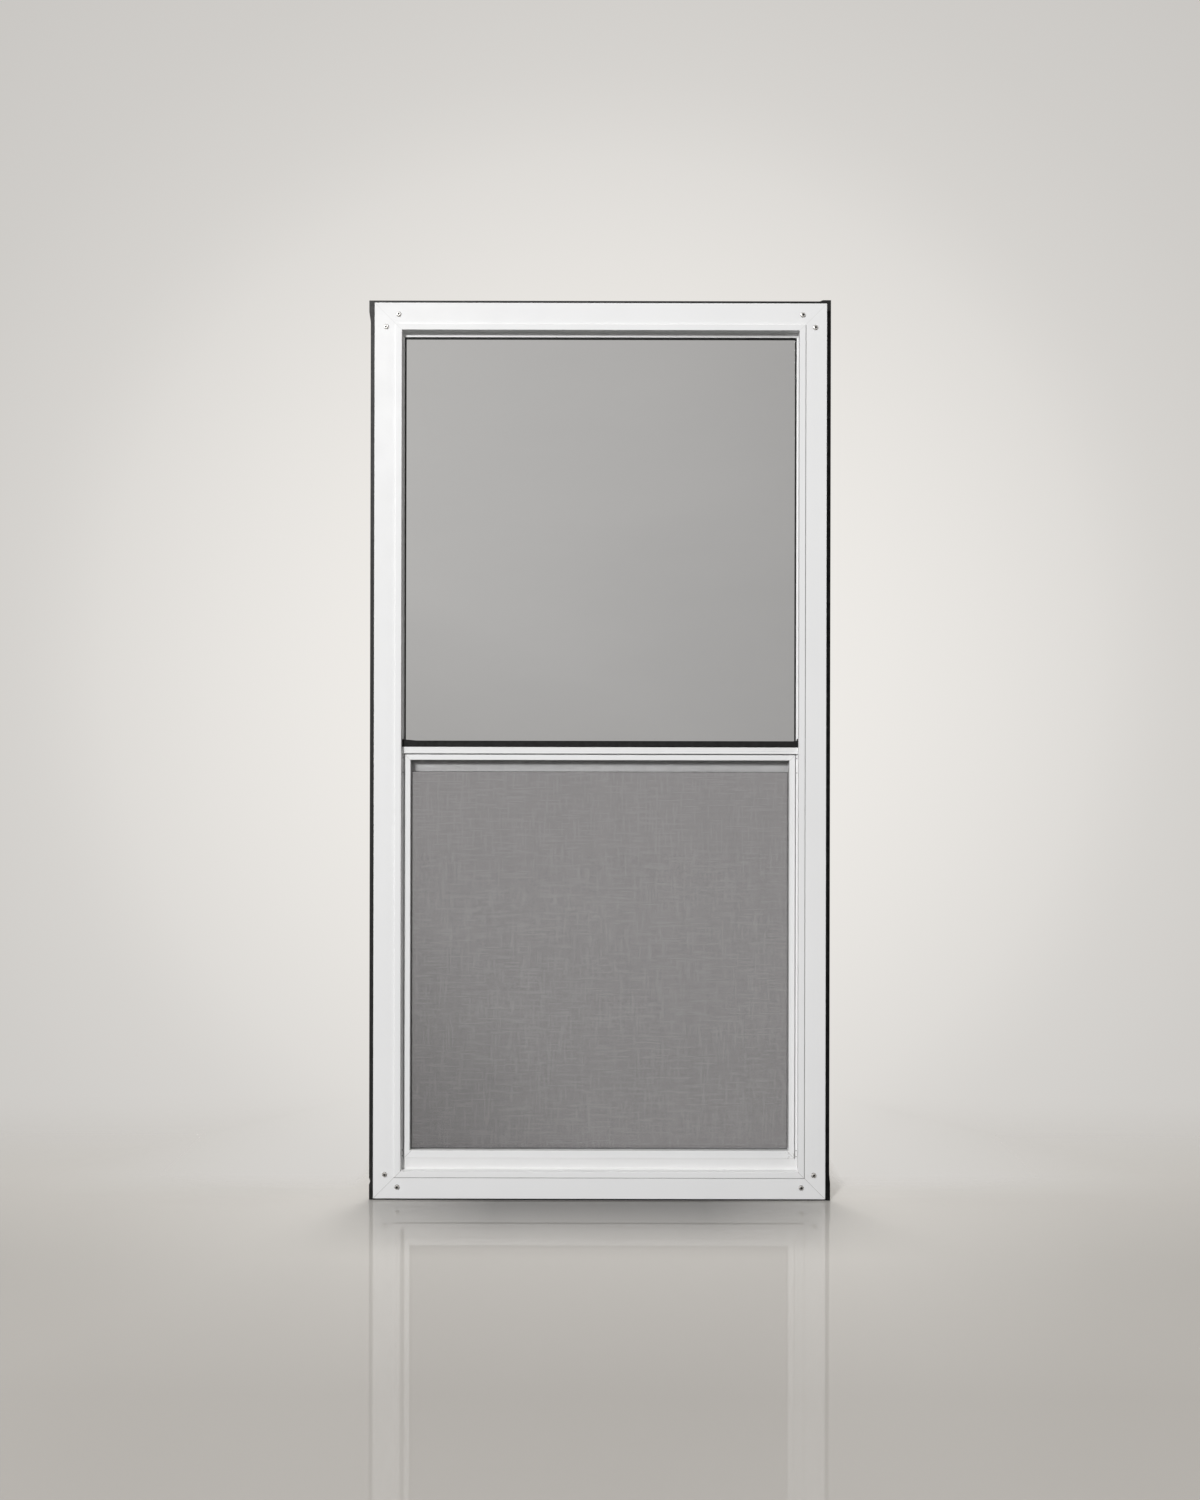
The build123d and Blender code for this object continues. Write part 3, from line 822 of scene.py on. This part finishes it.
def lamp(name, place, target, wide, tall, energy, tone=WHITE, mirrored=False):
    """A soft area lamp aimed at a point, unseen through glass, and in mirrors unless mirrored."""
    data = bpy.data.lights.new(name, "AREA")
    data.shape = "RECTANGLE"
    data.size, data.size_y = wide, tall
    data.energy = energy
    data.color = tone
    light = bpy.data.objects.new(name, data)
    bpy.context.scene.collection.objects.link(light)
    light.location = place
    light.visible_camera = False
    light.visible_glossy = mirrored
    light.visible_transmission = False
    light.rotation_euler = (Vector(target) - Vector(place)).to_track_quat("-Z", "Y").to_euler()


def seen_rays(tree):
    """1 for rays that show the surroundings: camera, mirror and glass rays."""
    path = tree.nodes.new("ShaderNodeLightPath")
    first = tree.nodes.new("ShaderNodeMath")
    second = tree.nodes.new("ShaderNodeMath")
    first.operation = second.operation = "MAXIMUM"
    tree.links.new(path.outputs["Is Camera Ray"], first.inputs[0])
    tree.links.new(path.outputs["Is Glossy Ray"], first.inputs[1])
    tree.links.new(first.outputs[0], second.inputs[0])
    tree.links.new(path.outputs["Is Transmission Ray"], second.inputs[1])
    return second.outputs[0]


def surroundings():
    """A pale backdrop that darkens away from the middle, and a weaker even light."""
    world = bpy.data.worlds.new("studio")
    bpy.context.scene.world = world
    world.use_nodes = True
    tree = world.node_tree
    tree.nodes.clear()
    output = tree.nodes.new("ShaderNodeOutputWorld")
    blend = tree.nodes.new("ShaderNodeMixShader")
    light = tree.nodes.new("ShaderNodeBackground")
    shown = tree.nodes.new("ShaderNodeBackground")
    place = tree.nodes.new("ShaderNodeTexCoord")
    facing = tree.nodes.new("ShaderNodeVectorMath")
    ramp = tree.nodes.new("ShaderNodeValToRGB")
    light.inputs["Color"].default_value = (1.0, 0.985, 0.96, 1.0)
    light.inputs["Strength"].default_value = studio().ambient
    facing.operation = "DOT_PRODUCT"
    facing.inputs[1].default_value = BACKDROP_AHEAD
    tree.links.new(place.outputs["Generated"], facing.inputs[0])
    tree.links.new(facing.outputs["Value"], ramp.inputs["Fac"])
    ramp.color_ramp.interpolation = "B_SPLINE"
    steps = ramp.color_ramp.elements
    while len(steps) < len(BACKDROP_STOPS):
        steps.new(0.5)
    for step, (position, tone) in zip(steps, BACKDROP_STOPS):
        step.position = position
        step.color = rgba([tone * tint for tint in BACKDROP_TINT])
    tree.links.new(ramp.outputs["Color"], shown.inputs["Color"])
    tree.links.new(seen_rays(tree), blend.inputs["Fac"])
    tree.links.new(light.outputs["Background"], blend.inputs[1])
    tree.links.new(shown.outputs["Background"], blend.inputs[2])
    tree.links.new(blend.outputs["Shader"], output.inputs["Surface"])


def floor_tone(made, aside, y, seen):
    """The floor's colour: darker near the camera and to the sides, a faint painted step darker outside the window's
    width, and a painted shadow under the window's front edge.
    """
    away = studio().distance
    base = made.mix(made.along(INWARD, -0.55, 0.1), studio().floor_near, studio().floor_far)
    sides = made.range(seen, 0.31, 0.85, 0.0, 0.132)
    sides = made.math("MULTIPLY", sides, made.along(INWARD, -0.32 * away, -0.10 * away, smooth=True))
    in_front = made.range(y, -0.14 * away, -0.05 * away, 1.0, 0.0, smooth=True)
    outside = made.math("MAXIMUM", in_front, made.range(seen, 0.36, 0.46, 0.0, 1.0, smooth=True))
    # Painted shade: a step darker just outside the window's width, where its reflection does not reach
    rim = made.math("MULTIPLY", made.range(seen, 0.302, 0.316, 0.0, 0.03), outside)
    # Painted shadow under the window's front edge, strongest in the middle of its width
    under = made.math("MULTIPLY", made.range(aside, 0.14, 0.295, 1.0, 0.0), made.along(INWARD, -0.185, -0.02))
    dark = made.math("ADD", made.math("ADD", sides, rim), made.math("MULTIPLY", under, 0.55))
    return made.mix(dark, base, BLACK)


def floor_fade(made, aside):
    """1 where the floor has faded into the backdrop: far away, and soon behind the window."""
    reach = made.tree.nodes.new("ShaderNodeVectorMath")
    reach.operation = "LENGTH"
    made.link(made.place.outputs["Object"], reach.inputs[0])
    far = made.range(reach.outputs["Value"], 0.9, 2.2, 0.0, 1.0, smooth=True)
    beside = made.math("MULTIPLY", made.along(INWARD, 0.0, 0.10), made.range(aside, 0.315, 0.345, 0.0, 1.0))
    close = made.math("MAXIMUM", made.along(INWARD, 0.0, 0.28, smooth=True), beside)
    close = made.math("MULTIPLY", close, made.range(aside, 0.4, 0.9, 1.0, 0.0, smooth=True))
    behind = made.math("MAXIMUM", made.along(INWARD, 0.0, 0.55, smooth=True), close)
    return made.math("MAXIMUM", far, behind)


def floor_finish():
    """Pale and slightly glossy in front of the window, dull for the light that bounces off it."""
    made = Finish("studio_floor")
    away = studio().distance
    x, y, _ = made.axes()
    aside = made.math("ABSOLUTE", x)
    deep = made.math("DIVIDE", made.math("ADD", y, away - FACE_Y), away)
    # Distance from the middle as it looks from the camera, at the window's face
    seen = made.math("DIVIDE", aside, made.math("MAXIMUM", deep, 0.1))
    made.colour(floor_tone(made, aside, y, seen))
    made.set(Roughness=0.025)
    ahead = made.range(y, -0.05, 0.03, 0.32, 0.0)
    mirror = made.math("MULTIPLY", ahead, made.range(seen, 0.32, 0.7, 1.0, 0.0, smooth=True))
    made.link(mirror, made.shader.inputs["Specular IOR Level"])
    dull = made.tree.nodes.new("ShaderNodeBsdfDiffuse")
    dull.inputs["Color"].default_value = rgba(studio().floor_dull)
    shown = made.tree.nodes.new("ShaderNodeMixShader")
    made.link(seen_rays(made.tree), shown.inputs["Fac"])
    made.link(dull.outputs["BSDF"], shown.inputs[1])
    made.link(made.shader.outputs["BSDF"], shown.inputs[2])
    nothing = made.tree.nodes.new("ShaderNodeBsdfTransparent")
    fade = made.tree.nodes.new("ShaderNodeMixShader")
    made.link(floor_fade(made, aside), fade.inputs["Fac"])
    made.link(shown.outputs["Shader"], fade.inputs[1])
    made.link(nothing.outputs["BSDF"], fade.inputs[2])
    output = next(node for node in made.tree.nodes if node.type == "OUTPUT_MATERIAL")
    made.link(fade.outputs["Shader"], output.inputs["Surface"])
    return made.material


def studio_floor():
    """A large floor that fades into the backdrop."""
    mesh = bmesh.new()
    bmesh.ops.create_grid(mesh, x_segments=1, y_segments=1, size=6.0)
    data = bpy.data.meshes.new("studio_floor")
    mesh.to_mesh(data)
    mesh.free()
    data.transform(Matrix.Translation((0.0, 0.0, FLOOR_Z)))
    data.materials.append(floor_finish())
    floor = bpy.data.objects.new("studio_floor", data)
    bpy.context.scene.collection.objects.link(floor)


def front_camera():
    """A camera straight in front, as far away as the picture's perspective says and rolled as little as it is."""
    made = studio()
    data = bpy.data.cameras.new("front_camera")
    data.sensor_width = 36.0
    pixels = made.distance / (made.scale * MM)
    data.lens = pixels * data.sensor_width / PICTURE_HEIGHT
    data.clip_start, data.clip_end = 0.05, 50.0
    camera = bpy.data.objects.new("front_camera", data)
    bpy.context.scene.collection.objects.link(camera)
    camera.location = (0.0, FACE_Y - made.distance, FACE_MIDDLE + made.rise)
    camera.rotation_euler = (math.pi / 2.0, made.roll, 0.0)
    bpy.context.scene.camera = camera


class STORM_OT_stage(bpy.types.Operator):
    """Floor, backdrop, lamps and camera"""

    bl_idname = "storm.stage"
    bl_label = "Stage"

    def execute(self, context):
        surroundings()
        studio_floor()
        made = studio()
        middle = (0.0, 0.0, FACE_MIDDLE)
        lamp("key_lamp", (-2.72, -6.4, 3.485), middle, 0.96, 0.96, made.key_power, mirrored=True)
        lamp("fill_lamp", (1.7, -3.4, 2.4), middle, 1.2, 1.2, made.fill_power)
        lamp("rake_lamp", (3.0, -0.55, 0.9), middle, 0.5, 1.2, made.rake_power, (1.0, 0.98, 0.96))
        lamp("wash_lamp", (-1.3, -1.2, 1.35), middle, 0.6, 0.9, made.wash_power)
        lamp("back_lamp", (1.2, 5.0, 1.3), middle, 2.0, 1.5, made.back_power)
        lamp("top_lamp", (0.0, 1.0, 12.0), (0.0, 1.0, 0.0), 1.8, 1.6, made.top_power, (1.0, 0.985, 0.965))
        front_camera()
        context.scene.view_settings.view_transform = "Standard"
        return {"FINISHED"}


OPERATORS = (
    STORM_OT_frame,
    STORM_OT_seals,
    STORM_OT_glazing,
    STORM_OT_screen,
    STORM_OT_sash,
    STORM_OT_fastenings,
    STORM_OT_stage,
)


class STORM_PT_panel(bpy.types.Panel):
    """Lists the steps and the values they use."""

    bl_label = "Storm window"
    bl_idname = "STORM_PT_panel"
    bl_space_type = "VIEW_3D"
    bl_region_type = "UI"
    bl_category = "Storm window"

    def draw(self, context):
        for operator in OPERATORS:
            self.layout.operator(operator.bl_idname)
        for group in (context.scene.storm_sizes, context.scene.storm_colours, context.scene.storm_studio):
            box = self.layout.box()
            for name in group.__annotations__:
                box.prop(group, name)


GROUPS = {"storm_sizes": StormSizes, "storm_colours": StormColours, "storm_studio": StormStudio}
CLASSES = (*GROUPS.values(), *OPERATORS, STORM_PT_panel)


def register():
    for item in CLASSES:
        bpy.utils.register_class(item)
    for name, group in GROUPS.items():
        setattr(bpy.types.Scene, name, bpy.props.PointerProperty(type=group))


def unregister():
    for name in GROUPS:
        delattr(bpy.types.Scene, name)
    for item in reversed(CLASSES):
        bpy.utils.unregister_class(item)


def main():
    register()
    bpy.ops.storm.frame()
    bpy.ops.storm.seals()
    bpy.ops.storm.glazing()
    bpy.ops.storm.screen()
    bpy.ops.storm.sash()
    bpy.ops.storm.fastenings()
    bpy.ops.storm.stage()


if __name__ == "__main__":
    main()
